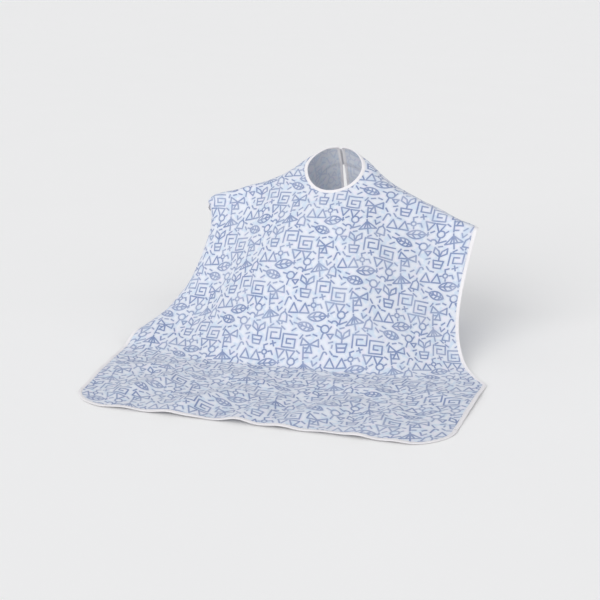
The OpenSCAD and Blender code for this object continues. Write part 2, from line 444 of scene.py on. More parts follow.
def ring(x, y, r, cut=None):
    """A circle, or with cut the part of it that lies against that direction."""
    return [("ring", (x, y), r, cut)]


# Name: centre, turn in degrees, the axis whose two sides mirror each other, strokes.
MOTIFS = {
    "maze": ((14, 14), 0, None,
             path(14, 13, -13, 13, -13, -13, 12, -13, 12, 4, -5, 4, -5, -5, 4, -5)),
    "counter_maze": ((148, 25), 0, None,
                     path(-14, -14, -14, 12, 13, 12, 13, -9, -6, -9, -6, 3, 5, 3)),
    "peaks": ((24, 80), 3, "x", closed(1.5, -9, 11, 10, 20, -9)),
    "flags": ((92, 90), -3, "x", closed(1.5, 7, 10.5, -11, 19, 7)),
    "leaf": ((61, 67), 10, "y",
             ring(0, -13, 22) + path(-17, 0, 23, 0) + path(-8, 0, -2, 8) + path(3, 0, 9, 6)),
    "small_leaf": ((42, 45), -14, "y",
                   ring(0, -12, 20) + path(-24, 0, 15, 0) + path(-6, 0, -10, 5)
                   + path(2, 0, -2, 8) + path(9, 0, 7, 6)),
    "bubble": ((78, 38), -14, None, ring(0, 6, 7.5) + path(0, -1.5, 0, -14)),
    "bud": ((104, 62), 0, None,
            ring(3, 13, 7) + path(3, 6, 1, -6, 15, 0) + ring(-8, -6, 6, (-2.0, -3.0))
            + path(1, -6, -6, 0)),
    "pot": ((114, 23), 0, "x",
            path(0, 4, 3, 16, 12, 23, 13, 12, 0, 4, 0, -5, 10, -5, 7, -21, 0, -21)
            + path(0, -13, 8, -13)),
    "umbrella": ((134, 62), 14, "x",
                 path(0, 16, 0, -16) + path(0, 12, 17, -4, 0, -4) + path(0, 12, 7, -4)),
    "bell": ((162, 63), -6, "x",
             path(0, 12, 0, 8, 6, 2, 8, -12, 0, -12, 0, -17)),
    "bow": ((55, 10), 0, "x", closed(0, 1, 15, 12, 17, -2) + path(0, 1, 6, -15, 0, -15)),
    "comb": ((128, 94), 6, None,
             path(0, 12, 0, -12) + path(0, 10, 9, 10) + path(0, 1, 9, 1)
             + path(0, -9, 9, -9)),
    "sun": ((51, 89), 12, "x",
            ring(0, 0, 4.5) + path(0, 7.5, 0, 11) + path(0, -7.5, 0, -11)
            + path(7.5, 0, 11, 0)),
    "cane": ((0, 92), -16, None, path(-3, -9, -3, 5) + ring(0.5, 5, 3.5, (0, -3.0))),
    "wedge": ((91, 31), 8, "x", path(0, -5, 6, 4, 0, 4)),
    "cross": ((149, 6), 20, "x", path(0, 5, 0, -5) + path(0, 0, 5, 0)),
    "tick": ((150, 75), -10, "x", path(0, -4, 5, 4)),
}
# Short strokes between the motifs: from x, y to x, y.
DASHES = (
    (35, 21, 39, 28), (77, 11, 82, 4), (90, 18, 97, 21), (131, 1, 138, 4), (91, 50, 87, 43),
    (64, 49, 71, 47), (16, 47, 10, 54), (144, 44, 138, 40), (148, 86, 154, 91), (23, 60, 30, 57),
    (119, 82, 113, 77), (68, 85, 64, 92), (2, 36, -5, 41), (82, 68, 82, 75), (66, 29, 59, 31),
    (150, 50, 156, 45), (32, -4, 38, -8), (94, 2, 99, -4), (17, 35, 24, 40), (19, 95, 26, 94),
    (84, 61, 91, 58), (46, 27, 53, 29), (87, 76, 93, 80), (6, 64, 12, 61), (108, 48, 115, 50),
    (96, 9, 97, 14),
)


def in_repeat(net, place, centre):
    """A place in the print, moved to the repeat round centre."""
    local = net.vector("SUBTRACT", place, (*centre, 0))
    row = net.math("ROUND", net.math("DIVIDE", net.split(local)[1], REPEAT_Y))
    local = net.vector("SUBTRACT", local, net.scaled((REPEAT_X / 2, REPEAT_Y, 0), row))
    col = net.math("ROUND", net.math("DIVIDE", net.split(local)[0], REPEAT_X))
    return net.vector("SUBTRACT", local, net.scaled((REPEAT_X, 0, 0), col))


def from_anchor(at):
    """The anchor whose repeat holds a motif best, and the motif's place from it."""
    best = None
    for index, anchor in enumerate(ANCHORS):
        dx, dy = at[0] - anchor[0], at[1] - anchor[1]
        row = round(dy / REPEAT_Y)
        dx, dy = dx - row * REPEAT_X / 2, dy - row * REPEAT_Y
        dx -= REPEAT_X * round(dx / REPEAT_X)
        room = min(REPEAT_X / 2 - abs(dx), REPEAT_Y / 2 - abs(dy))
        if best is None or room > best[0]:
            best = (room, index, (dx, dy))
    return best[1:]


def stroke_distance(net, local, stroke):
    """Distance from a place to a straight stroke or a ring."""
    if stroke[0] == "line":
        a, b = stroke[1:]
        reach = (b[0] - a[0], b[1] - a[1])
        square = reach[0] ** 2 + reach[1] ** 2
        away = net.vector("SUBTRACT", local, (*a, 0))
        along = net.vector("DOT_PRODUCT", away, (reach[0] / square, reach[1] / square, 0))
        on_stroke = net.node("ShaderNodeClamp", {"Value": along}).outputs[0]
        return net.vector("DISTANCE", away, net.scaled((*reach, 0), on_stroke))
    centre, r, cut = stroke[1:]
    away = net.math("ABSOLUTE", net.math("SUBTRACT", net.vector("DISTANCE", local, (*centre, 0)), r))
    if cut:
        past = net.vector("DOT_PRODUCT", net.vector("SUBTRACT", local, (*centre, 0)), (*cut, 0))
        away = net.math("ADD", away, net.math("MAXIMUM", past, 0.0))
    return away


def print_group():
    """Node group: place in the print in millimetres -> distance to the nearest line."""
    tree = bpy.data.node_groups.new("doodle_lines", "ShaderNodeTree")
    tree.interface.new_socket("Place", in_out="INPUT", socket_type="NodeSocketVector")
    tree.interface.new_socket("Distance", in_out="OUTPUT", socket_type="NodeSocketFloat")
    net = Net(tree)
    place = net.node("NodeGroupInput").outputs[0]
    repeats = [in_repeat(net, place, anchor) for anchor in ANCHORS]
    nearest = None

    def keep_nearest(distance):
        return distance if nearest is None else net.math("MINIMUM", nearest, distance)

    for at, turn, mirror, strokes in MOTIFS.values():
        index, offset = from_anchor(at)
        local = net.vector("SUBTRACT", repeats[index], (*offset, 0))
        if turn:
            local = net.node("ShaderNodeVectorRotate", {"Vector": local, "Angle": -math.radians(turn)},
                             rotation_type="Z_AXIS").outputs[0]
        if mirror:
            flip = (-1, 1, 1) if mirror == "x" else (1, -1, 1)
            local = net.vector("MAXIMUM", local, net.vector("MULTIPLY", local, flip))
        for stroke in strokes:
            nearest = keep_nearest(stroke_distance(net, local, stroke))
    for ax, ay, bx, by in DASHES:
        index, (x, y) = from_anchor((ax, ay))
        dash = ("line", (x, y), (x + bx - ax, y + by - ay))
        nearest = keep_nearest(stroke_distance(net, repeats[index], dash))
    net.node("NodeGroupOutput", {0: nearest})
    return tree


def new_material(name):
    """A material and its net of nodes."""
    material = bpy.data.materials.new(name)
    material.use_nodes = True
    return material, Net(material.node_tree)


def weave_height(net, place, pitch, slant=0.0):
    """Over-and-under height of a plain weave. place and pitch are in millimetres."""
    u, v = net.split(place)[0], net.split(place)[1]
    if slant:
        lean_u, lean_v = net.math("MULTIPLY", v, slant), net.math("MULTIPLY", u, slant)
        u, v = net.math("ADD", u, lean_u), net.math("SUBTRACT", v, lean_v)
    across = net.math("SINE", net.math("MULTIPLY", u, math.tau / pitch))
    down = net.math("SINE", net.math("MULTIPLY", v, math.tau / pitch))
    return net.math("MULTIPLY", across, down)


def printed_fabric(name, lines, ground, ink, shade, ink_share):
    """Coated taffeta with the line print. ink_share is how strongly the print shows on this face."""
    material, net = new_material(name)
    flat_place = net.node("ShaderNodeUVMap", uv_map="flat").outputs[0]
    place = net.scaled(flat_place, 1000.0)
    print_place = net.vector("ADD", net.scaled(flat_place, 1000.0 / PRINT_SCALE), (*PRINT_SHIFT, 0))
    group = net.node("ShaderNodeGroup", node_tree=lines)
    net.put(print_place, group.inputs[0])
    distance = group.outputs[0]
    wobble = net.remap(net.noise(place, 2.2), 0, 1, -0.35, 0.35)
    edge = net.math("ADD", distance, wobble)
    mask = net.remap(edge, LINE_CORE, LINE_EDGE, 1.0, 0.0, smooth=True)
    density = net.remap(net.noise(place, 48.0, detail=3.0), 0.35, 0.62, 0.70 * ink_share, ink_share)
    # pale tints between the lines, and a faint wash close to them
    tint = net.noise(net.vector("ADD", place, (310, 170, 0)), 17.0)
    tint = net.remap(tint, 0.50, 0.62, 0.0, 1.0, smooth=True)
    warm = net.noise(net.vector("ADD", place, (90, 610, 0)), 15.0)
    warm = net.remap(warm, 0.55, 0.66, 0.0, 0.6, smooth=True)
    wash = net.remap(distance, 2.0, 6.5, 0.30, 0.0, smooth=True)
    colour = net.blend(tint, (*ground, 1), (*shade, 1))
    colour = net.blend(warm, colour, (0.80, 0.76, 0.87, 1))
    thin_ink = mix(np.array(ground), np.array(ink), 0.45)
    colour = net.blend(net.math("MULTIPLY", wash, ink_share), colour, (*thin_ink, 1))
    colour = net.blend(net.math("MULTIPLY", mask, density), colour, (*ink, 1))
    rough = net.remap(net.noise(place, 30.0), 0.3, 0.7, 0.50, 0.64)
    weave = net.bump(weave_height(net, place, 0.7), 0.35, 0.00008)
    crinkle = net.bump(net.noise(place, 9.0, detail=4.0, roughness=0.6), 0.22, 0.0012, under=weave)
    net.surface(Base_Color=colour, Roughness=rough, Normal=crinkle,
                Sheen_Weight=0.18, Sheen_Roughness=0.45, Specular_IOR_Level=0.42)
    return material


def plain_fabric(name, colour, pitch, roughness, sheen, slant=0.0, relief=0.45):
    """Woven fabric of one colour with a little mottling. Its map is in metres along and across."""
    material, net = new_material(name)
    place = net.scaled(net.node("ShaderNodeUVMap", uv_map="flat").outputs[0], 1000.0)
    darker = tuple(c * 0.955 for c in colour)
    share = net.remap(net.noise(place, 5.0, detail=4.0), 0.3, 0.7, 0.0, 1.0)
    height = weave_height(net, place, pitch, slant)
    # painted shade: where the weave dips, its colour is drawn darker
    weave_shade = net.remap(height, -1.0, 1.0, 0.90, 1.0)
    tone = net.blend(share, (*darker, 1), (*colour, 1))
    tone = net.blend(weave_shade, (*(c * 0.78 for c in colour), 1), tone)
    rough = net.remap(net.noise(place, 8.0), 0.3, 0.7, roughness - 0.06, roughness + 0.06)
    weave = net.bump(height, relief, 0.00015)
    soft = net.bump(net.noise(place, 3.5, detail=3.0), 0.25, 0.0005, under=weave)
    net.surface(Base_Color=tone, Roughness=rough, Normal=soft, Sheen_Weight=sheen, Sheen_Roughness=0.4)
    return material


def thread_material(name, colour):
    """Twisted sewing thread: fine slanting ridges along each stitch."""
    material, net = new_material(name)
    place = net.scaled(net.node("ShaderNodeTexCoord").outputs["Object"], 1000.0)
    x, y, z = net.split(place)[:3]
    slant = net.math("ADD", net.math("ADD", x, y), z)
    turns = net.math("SINE", net.math("MULTIPLY", slant, math.tau / 0.5))
    # painted shade: the grooves between the twists are drawn darker
    tone = net.blend(net.remap(turns, -1, 1, 0.0, 1.0), (*(c * 0.8 for c in colour), 1), (*colour, 1))
    ridges = net.bump(turns, 0.5, 0.0001)
    net.surface(Base_Color=tone, Normal=ridges, Roughness=0.55, Sheen_Weight=0.3)
    return material


LINES = print_group()
GROUND = (0.760, 0.795, 0.870)
INK = (0.185, 0.250, 0.455)
PALE_BLUE = (0.635, 0.730, 0.850)
INSIDE_GROUND, INSIDE_INK, INSIDE_BLUE = (0.76, 0.79, 0.85), (0.42, 0.48, 0.68), (0.70, 0.77, 0.86)
OUTER = printed_fabric("printed_taffeta", LINES, GROUND, INK, PALE_BLUE, 0.95)
INNER = printed_fabric("taffeta_inside", LINES, INSIDE_GROUND, INSIDE_INK, INSIDE_BLUE, 0.38)
TAPE = plain_fabric("white_bias_tape", (0.93, 0.91, 0.93), 0.55, 0.62, 0.25, slant=1.0)
STRAP = plain_fabric("white_strap", (0.86, 0.86, 0.90), 0.8, 0.58, 0.2, relief=0.7)
HOOKS = plain_fabric("hook_tape", (0.80, 0.82, 0.86), 1.1, 0.42, 0.05, relief=0.8)
LOOPS = plain_fabric("loop_tape", (0.88, 0.89, 0.92), 0.6, 0.80, 0.5, relief=0.9)
SATIN = plain_fabric("label_satin", (0.90, 0.90, 0.91), 0.35, 0.30, 0.1, relief=0.3)
THREAD = thread_material("white_thread", (0.88, 0.88, 0.92))


# ---- the cloth settles on the wearer and the table ----

class FlatMap:
    """Finds flat places on the worn cloth."""

    def __init__(self, piece):
        mesh = piece.data
        mesh.calc_loop_triangles()
        place = np.zeros((len(mesh.vertices), 2))
        place[read(mesh.loops, "vertex_index", kind=int)] = read(mesh.uv_layers["flat"].data, "uv", 2)
        self.flat = [Vector((u, v, 0)) for u, v in place]
        self.worn = [v.co.copy() for v in mesh.vertices]
        self.normal = [v.normal.copy() for v in mesh.vertices]
        self.faces = [tuple(t.vertices) for t in mesh.loop_triangles]
        self.tree = BVHTree.FromPolygons(self.flat, self.faces)
        self.skin = BVHTree.FromPolygons(self.worn, self.faces)

    def at(self, u, v):
        """Point and outward normal of the worn cloth at a flat place."""
        near, _, index, _ = self.tree.find_nearest(Vector((u, v, 0)))
        flat_corners = [self.flat[i] for i in self.faces[index]]
        point = barycentric_transform(near, *flat_corners, *[self.worn[i] for i in self.faces[index]])
        normal = barycentric_transform(near, *flat_corners, *[self.normal[i] for i in self.faces[index]])
        return point, normal.normalized()

    def height(self, x, y, edge=0.0055):
        """Height of the worn cloth over a place in plan, carried straight across the slit."""
        if y > 0 and abs(x) < edge:
            return mix(self.height(-edge, y), self.height(edge, y), (x + edge) / (2 * edge))
        hit = self.skin.ray_cast(Vector((x, y, 0.2)), Vector((0, 0, -1)))[0]
        return float(cloth_z(x, y)) if hit is None else hit.z

    def lifted(self, x, y, lift):
        """Point over the cloth at a place in plan, and the cloth's normal there."""
        step = 0.002
        slope = [float(cloth_z(x + dx, y + dy) - cloth_z(x - dx, y - dy)) / (2 * step)
                 for dx, dy in ((step, 0), (0, step))]
        normal = Vector((-slope[0], -slope[1], 1)).normalized()
        return Vector((x, y, self.height(x, y))) + normal * lift, normal


def form_surface():
    """The wearer and the table in one plain skin, a little under the worn cloth."""
    gap = 0.004
    xs, ys = np.linspace(-0.40, 0.40, 134), np.linspace(-0.66, 0.16, 138)
    grid_x, grid_y = np.meshgrid(xs, ys, indexing="ij")
    z = cloth_z(np.clip(grid_x, -0.36, 0.36), np.maximum(grid_y, -0.40)) - gap
    z = np.maximum(np.where(grid_y < -edge_y(grid_x), TABLE_Z - 0.0025, z), TABLE_Z - 0.0025)
    points = np.stack([grid_x, grid_y, z], -1).reshape(-1, 3)
    n = len(ys)
    faces = [(i * n + j, (i + 1) * n + j, (i + 1) * n + j + 1, i * n + j + 1)
             for i in range(len(xs) - 1) for j in range(n - 1)]
    return mesh_object("form", points, faces)


def pin_weights():
    """How firmly each point is held: fully at the neck and the closure, softly down the sides."""
    u, v = flat[:, 0], flat[:, 1]
    neck = 1 - ease(0.010, 0.030, np.hypot(u, v) - NECK_R)
    nape = (1 - ease(0.065, 0.090, np.abs(u))) * (1 - ease(0.12, 0.15, v)) * (v > 0)
    side = np.zeros(len(u))
    for sign in (1, -1):
        ridge, bend = SIDE_RIDGE_V[sign], SIDE_BEND_V[sign]
        rim = 1 - ease(0.004, 0.030, half_width(v, sign) - sign * u)
        hold = 0.35 * rim * ease(bend - 0.02, bend + 0.06, v) * (1 - ease(ridge, ridge + 0.08, v))
        side = np.where(sign * u > 0, hold, side)
    return np.clip(np.maximum(np.maximum(neck, nape), side), 0, 1)


def simulate(piece, frames=60):
    """Lets the cloth settle from its cut shape, and keeps the result in its mesh."""
    piece.shape_key_add(name="worn")
    cut = piece.shape_key_add(name="cut")
    cut.data.foreach_set("co", np.column_stack([flat, np.zeros(len(flat))]).ravel())
    pins = piece.vertex_groups.new(name="pins")
    for i, weight in enumerate(pin_weights()):
        if weight > 0.01:
            pins.add([i], float(weight), "REPLACE")
    form = form_surface()
    form.modifiers.new("collision", "COLLISION")
    form.collision.thickness_outer = 0.002
    form.collision.cloth_friction = 8
    cloth = piece.modifiers.new("cloth", "CLOTH")
    for name, value in {
        "quality": 7, "mass": 0.12, "tension_stiffness": 18, "compression_stiffness": 18,
        "shear_stiffness": 8, "bending_stiffness": 0.15, "tension_damping": 8,
        "compression_damping": 8, "shear_damping": 5, "bending_damping": 0.5, "air_damping": 2,
        "vertex_group_mass": "pins", "pin_stiffness": 1, "rest_shape_key": cut,
    }.items():
        setattr(cloth.settings, name, value)
    cloth.collision_settings.distance_min = 0.002
    cloth.collision_settings.use_self_collision = False
    cloth.point_cache.frame_start, cloth.point_cache.frame_end = 1, frames
    scene = bpy.context.scene
    scene.frame_start, scene.frame_end = 1, frames
    for number in range(1, frames + 1):
        scene.frame_set(number)
    held = piece.evaluated_get(bpy.context.evaluated_depsgraph_get())
    settled = read(held.data.vertices, "co", 3)
    piece.modifiers.clear()
    piece.shape_key_clear()
    piece.vertex_groups.clear()
    scene.frame_set(1)
    move_points(piece, settled)
    bpy.data.objects.remove(form)


# Soft rolls of the part on the table: from, to, half width and height, in millimetres in plan.
ROLLS = (
    ((-262, -508), (-196, -400), 24, 7.0), ((-150, -560), (-72, -448), 26, 8.5),
    ((-20, -575), (20, -470), 22, 6.0), ((66, -560), (150, -440), 27, 8.0),
    ((196, -572), (232, -470), 22, 6.5), ((282, -540), (318, -440), 20, 5.0),
    ((-120, -372), (-10, -402), 20, 4.5), ((60, -352), (190, -382), 22, 4.5),
    ((-300, -372), (-215, -350), 18, 3.5), ((240, -350), (322, -372), 18, 3.5),
)
# Low waves all over: wavelengths along x and y, and a phase, in metres and radians.
WAVES = ((0.132, 0.31, 0.4), (-0.095, 0.17, 1.9), (0.21, -0.118, 3.1), (0.071, 0.093, 5.0))


def add_waves(piece):
    """Rolls and low waves that the smooth fall of the simulation leaves out."""
    co, normal = [read(piece.data.vertices, name, 3) for name in ("co", "normal")]
    x, y = co[:, 0], co[:, 1]
    past = -edge_y(x) - y
    lying = ease(0.004, 0.055, past)
    wave = sum(np.sin(math.tau * (x / wx + y / wy) + phase) for wx, wy, phase in WAVES) / len(WAVES)
    lift = lying * 0.0028 * (1 + wave)
    for (ax, ay), (bx, by), half, height in ROLLS:
        a, b = np.array([ax, ay]) / 1000, np.array([bx, by]) / 1000
        t = np.clip(((co[:, :2] - a) @ (b - a)) / ((b - a) @ (b - a)), 0, 1)
        away = np.linalg.norm(co[:, :2] - a - t[:, None] * (b - a), axis=1)
        crest = 1.35 * height / 1000 * np.exp(-(away / (half / 1000)) ** 2)
        lift += lying * crest * (0.6 + 0.4 * np.sin(math.pi * t))
    # the round front corners stay down on the table
    width = np.where(flat[:, 0] > 0, HEM_U[1], HEM_U[-1])
    corner = ease(0.72, 0.97, np.abs(flat[:, 0]) / width) * ease(0.60, 0.72, -flat[:, 1])
    lift *= 1 - 0.8 * corner
    # the hanging part keeps clear of the neck tape, and of the flap when that is folded up
    free = ease(0.045, 0.110, np.hypot(flat[:, 0], flat[:, 1]) - NECK_R) * ease(0.010, 0.090, -past)
    co += normal * (free * 0.0032 * wave)[:, None]
    co[:, 2] += lift - 0.0010 * lying
    move_points(piece, co)


TUCK_REACH, TUCK_OUT = 0.040, 0.009


def tuck_right_edge(piece):
    """Turns the edge of the wearer's right side straight down over the arm."""
    u, v = flat[:, 0], flat[:, 1]
    ridge = SIDE_RIDGE_V[-1]
    inset = half_width(v, -1) + u
    along = ease(-0.43, -0.34, v) * (1 - ease(ridge + 0.01, ridge + 0.09, v)) * (u < 0)
    out_share = along * (1 - ease(0.03, 0.14, inset)) * (1 - ease(ridge - 0.10, ridge - 0.02, v))
    for i in np.nonzero(out_share)[0]:
        piece.data.vertices[i].co.x -= TUCK_OUT * out_share[i]
    piece.data.update()
    cloth = FlatMap(piece)
    for i in np.nonzero(along * (inset < TUCK_REACH))[0]:
        edge = u[i] - inset[i]
        start, normal = cloth.at(edge + TUCK_REACH, v[i])
        before, _ = cloth.at(edge + TUCK_REACH + 0.010, v[i])
        out = start - before
        out = (out - normal * out.dot(normal)).normalized()
        turn = max(0.02, math.radians(88) - math.asin(-out.z)) / TUCK_REACH
        angle = turn * (TUCK_REACH - inset[i])
        tucked = start + out * (math.sin(angle) / turn) - normal * ((1 - math.cos(angle)) / turn)
        vertex = piece.data.vertices[i]
        vertex.co = vertex.co.lerp(tucked, float(along[i]))
    piece.data.update()


cape = mesh_object("printed_cape", wear(flat), triangles, flat)
simulate(cape)
add_waves(cape)
tuck_right_edge(cape)


# ---- the cloth, smooth and with its thickness ----

CLOTH_T = 0.0004


def apply_modifier(piece, kind, **settings):
    modifier = piece.modifiers.new(kind.lower(), kind)
    for name, value in settings.items():
        setattr(modifier, name, value)
    bpy.context.view_layer.update()
    done = bpy.data.meshes.new_from_object(piece.evaluated_get(bpy.context.evaluated_depsgraph_get()))
    piece.modifiers.clear()
    piece.data = done


apply_modifier(cape, "SUBSURF", levels=1, render_levels=1, uv_smooth="SMOOTH_ALL")
worn = FlatMap(cape)
for cloth_material in (OUTER, INNER):
    cape.data.materials.append(cloth_material)
apply_modifier(cape, "SOLIDIFY", thickness=CLOTH_T, offset=0, material_offset=1)


# ---- edge tapes and their stitches ----

TAPE_W, STITCH_W = 0.0070, 0.0057
SHARP_TURN, CORNER_CLEAR = math.radians(30), TAPE_W * 1.2
STITCH_L, STITCH_PITCH, STITCH_R = 0.0021, 0.0031, 0.00028
# Distance in from the cloth's edge and lift over its middle, in millimetres, from inside to the fold.
TAPE_SECTION = ((7.0, 0.10), (7.0, 0.46), (6.4, 0.52), (5.7, 0.40), (4.9, 0.56), (3.6, 0.68), (1.9, 0.76),
                (0.4, 0.76), (-0.4, 0.58), (-0.8, 0.22))


def unit_rows(rows):
    return rows / np.linalg.norm(rows, axis=1)[:, None]


def stretch(*names):
    """Named stretches of the outline as one polyline."""
    return np.concatenate([OUTLINE[name] for name in names])


def stations(line, step):
    """Places along a polyline in the flat cut with their mitred inward normals and distances.

    Places that are close to a sharp corner are left out, so that rows of the tape don't cross there.
    """
    line = line[np.concatenate([[True], np.linalg.norm(np.diff(line, axis=0), axis=1) > 1e-6])]
    ahead = unit_rows(np.diff(line, axis=0))
    turn = np.arccos(np.clip((ahead[:-1] * ahead[1:]).sum(1), -1, 1))
    sharp = [0, *(np.nonzero(turn > SHARP_TURN)[0] + 1), len(line) - 1]
    points = []
    for a, b in zip(sharp, sharp[1:]):
        length = lengths(line[a:b + 1])[-1]
        part = even_steps(line[a:b + 1], max(2, round(length / step) + 1))[0]
        s = np.linspace(0, length, len(part))
        clear_start = 0.0 if a == 0 else CORNER_CLEAR
        clear_end = 0.0 if b == len(line) - 1 else CORNER_CLEAR
        ok = (s >= clear_start) & (s <= length - clear_end)
        ok[0] = ok[-1] = True
        points.extend(part[ok][:-1])
    points = np.array([*points, line[-1]])
    steps = unit_rows(np.diff(points, axis=0))
    normals = np.stack([-steps[:, 1], steps[:, 0]], -1)
    before, after = np.concatenate([normals[:1], normals]), np.concatenate([normals, normals[-1:]])
    inward = (before + after) / (1 + (before * after).sum(1))[:, None]
    return points, inward, lengths(points)


def edge_point(place, inward, w, lift):
    """Point at w in from the cloth's edge and at a lift over it. Negative w is outside the edge."""
    at, normal = worn.at(*(place + inward * max(w, 0.0002)))
    if w < 0:
        back, _ = worn.at(*(place + inward * 0.003))
        at = at + (at - back).normalized() * -w
    return at + normal * lift


def capsule(a, b, side, up, r):
    """Points and faces of a small rod with pointed ends."""
    reach = (b - a).normalized()
    rings = [(a + reach * r * 0.8, 1.0), (b - reach * r * 0.8, 1.0)]
    points = [a] + [c + (side * math.cos(t) + up * math.sin(t)) * r * k
                    for c, k in rings for t in (0.785, 2.356, 3.927, 5.498)] + [b]
    faces = [(0, 1 + (i + 1) % 4, 1 + i) for i in range(4)]
    faces += [(1 + i, 1 + (i + 1) % 4, 5 + (i + 1) % 4, 5 + i) for i in range(4)]
    faces += [(9, 5 + i, 5 + (i + 1) % 4) for i in range(4)]
    return points, faces


class Parts:
    """Collects points, faces, flat places and material numbers for one mesh."""

    def __init__(self):
        self.points, self.faces, self.flat, self.kinds = [], [], [], []

    def add(self, points, faces, places=None, kind=0):
        start = len(self.points)
        self.points += [tuple(p) for p in points]
        self.faces += [tuple(start + i for i in f) for f in faces]
        self.flat += [tuple(p) for p in places] if places is not None else [(p[0], p[1]) for p in points]
        self.kinds += [kind] * len(faces)

    def make(self, name, *materials):
        made = mesh_object(name, self.points, self.faces, self.flat, materials)
        made.data.polygons.foreach_set("material_index", self.kinds)
        return made


def add_tube(parts, rows, places):
    """Joins closed rows of points into a tube and closes its ends."""
    n, m = len(rows), len(rows[0])
    faces = [(i * m + j, (i + 1) * m + j, (i + 1) * m + (j + 1) % m, i * m + (j + 1) % m)
             for i in range(n - 1) for j in range(m)]
    faces += [tuple(range(m)), tuple(range((n - 1) * m, n * m))[::-1]]
    parts.add([p for row in rows for p in row], faces, [p for row in places for p in row])


def edge_tape(name, line, fullness=1.0, step=0.004, over=1.0):
    """A tape folded round the cloth's edge and sewn through, with its stitches on both faces."""
    parts = Parts()
    section = [(w, h * fullness) for w, h in TAPE_SECTION]
    section = section + [(w, -h) for w, h in reversed(section)]
    points, inward, along = stations(line, step)
    rows, places = [], []
    for place, normal, s in zip(points, inward, along):
        ripple = 1 + 0.10 * math.sin(s * 410) * math.sin(s * 173 + 1)
        rows.append([edge_point(place, normal, w / 1000, h * ripple * over / 1000) for w, h in section])
        places.append([(s, (w if h > 0 else 20 - w) / 1000) for w, h in section])
    add_tube(parts, rows, places)
    total = along[-1]
    count = int(total / STITCH_PITCH)
    lift = 0.00040 * fullness * over + STITCH_R * 0.3
    for k, face in itertools.product(range(count), (1, -1)):
        start = (k + 0.5) * total / count - STITCH_L / 2
        ends = [[np.array([np.interp(s, along, table[:, i]) for i in (0, 1)]) for table in (points, inward)]
                for s in (start, start + STITCH_L)]
        a, b = [edge_point(*end, STITCH_W, face * lift) for end in ends]
        up = (a - edge_point(*ends[0], STITCH_W, 0)).normalized()
        side = (b - a).normalized().cross(up)
        parts.add(*capsule(a, b, side, up, STITCH_R), kind=1)
    return parts.make(name, TAPE, THREAD)


neck_tape = edge_tape("neck_tape", OUTLINE["neck"], fullness=1.6, step=0.003)
left_tape = edge_tape("left_edge_tape", stretch("left_side", "left_back", "left_slit"))
right_tape = edge_tape("right_edge_tape", stretch("right_slit", "right_back", "right_side"))
hem_tape = edge_tape("hem_tape", stretch("right_corner", "hem", "left_corner"), over=1.12)


# ---- closure at the nape ----

STRAP_X, STRAP_Y = (-0.044, 0.024), (0.060, 0.084)
STRAP_T, STRAP_END_R = 0.0012, 0.007
SEAM_PITCH, SEAM_L, SEAM_R = 0.0027, 0.0019, 0.00026
STRAND_R = 0.00013
HOOK_X, HOOK_Y = (-0.041, -0.013), (0.062, 0.082)
LOOP_X, LOOP_Y = (-0.050, -0.012), (0.061, 0.083)
LABEL_X, LABEL_Y = (0.070, 0.104), (0.106, 0.122)
SEWN_X, SEWN_Y = (0.0125, 0.0218), (0.0625, 0.0815)


def strap_lift(x):
    """Lift of the strap's underside: sewn down on the wearer's left, over the patches on the right."""
    return mix(0.00025, mix(0.0016, 0.0030, float(ease(0.009, -0.008, x))), float(ease(0.014, 0.009, x)))


def strap_top(x):
    return strap_lift(x) + STRAP_T + 0.00005


def add_plate(parts, sections, shift=0.0):
    """A plate through closed sections of x, y and lift over the cloth, first the top and then back.

    shift moves the underside's place on its flat map.
    """
    half = len(sections[0]) // 2
    rows = [[worn.lifted(*p)[0] for p in section] for section in sections]
    places = [[(x, y + (shift if i >= half else 0)) for i, (x, y, _) in enumerate(section)]
              for section in sections]
    add_tube(parts, rows, places)


def slab(parts, x_range, y_range, bottom, thickness, corner_r, rim=0.0):
    """A thin plate that follows the cloth, with round corners. bottom(x) is its lift over the cloth.

    corner_r is (low x end, high x end). rim raises a folded hem along the sides.
    """
    (x0, x1), (y0, y1) = x_range, y_range
    xs = np.linspace(x0, x1, round((x1 - x0) / 0.001))
    xs = np.unique(np.concatenate([xs, x0 + corner_r[0] * (1 - np.cos(np.linspace(0, math.pi / 2, 7))),
                                   x1 - corner_r[1] * (1 - np.cos(np.linspace(0, math.pi / 2, 7)))]))
    sections = []
    for x in xs:
        cut = 0.0
        for edge, r in ((x0, corner_r[0]), (x1, corner_r[1])):
            past = r - abs(x - edge)
            if past > 0:
                cut = min(r - math.sqrt(max(r * r - past * past, 0)), (y1 - y0) / 2 - 0.0002)
        low, high = y0 + cut, y1 - cut
        top_row, bottom_row = [], []
        for t in np.linspace(0, 1, 17):
            y = mix(low, high, t)
            near = min(y - low, high - y, x - x0 + 0.0008, x1 - x + 0.0008)
            fold = rim * float(1 - ease(0.0030, 0.0042, near))
            groove = -0.00018 * math.exp(-((near - 0.0022) / 0.0005) ** 2) if rim else 0.0
            rounding = 0.35 * thickness * float(1 - ease(0, 0.0010, near))
            base = bottom(x)
            top_row.append((x, y, base + thickness + fold + groove - rounding))
            bottom_row.append((x, y, base + rounding * 0.6))
        sections.append(top_row + bottom_row[::-1])
    add_plate(parts, sections, 0.05)


def stitch_line(parts, corners, *lifts, kind=0):
    """Straight rows of stitches between corners in plan. Each of lifts gives a row's lift at x."""
    for (ax, ay), (bx, by) in zip(corners, corners[1:]):
        total = math.hypot(bx - ax, by - ay)
        count = max(1, round(total / SEAM_PITCH))
        half = SEAM_L / total / 2
        for k, lift in itertools.product(range(count), lifts):
            middle = (k + 0.5) / count
            places = [(mix(ax, bx, t), mix(ay, by, t)) for t in (middle - half, middle + half)]
            (a, up), (b, _) = [worn.lifted(x, y, lift(x)) for x, y in places]
            parts.add(*capsule(a, b, (b - a).normalized().cross(up), up, SEAM_R), kind=kind)


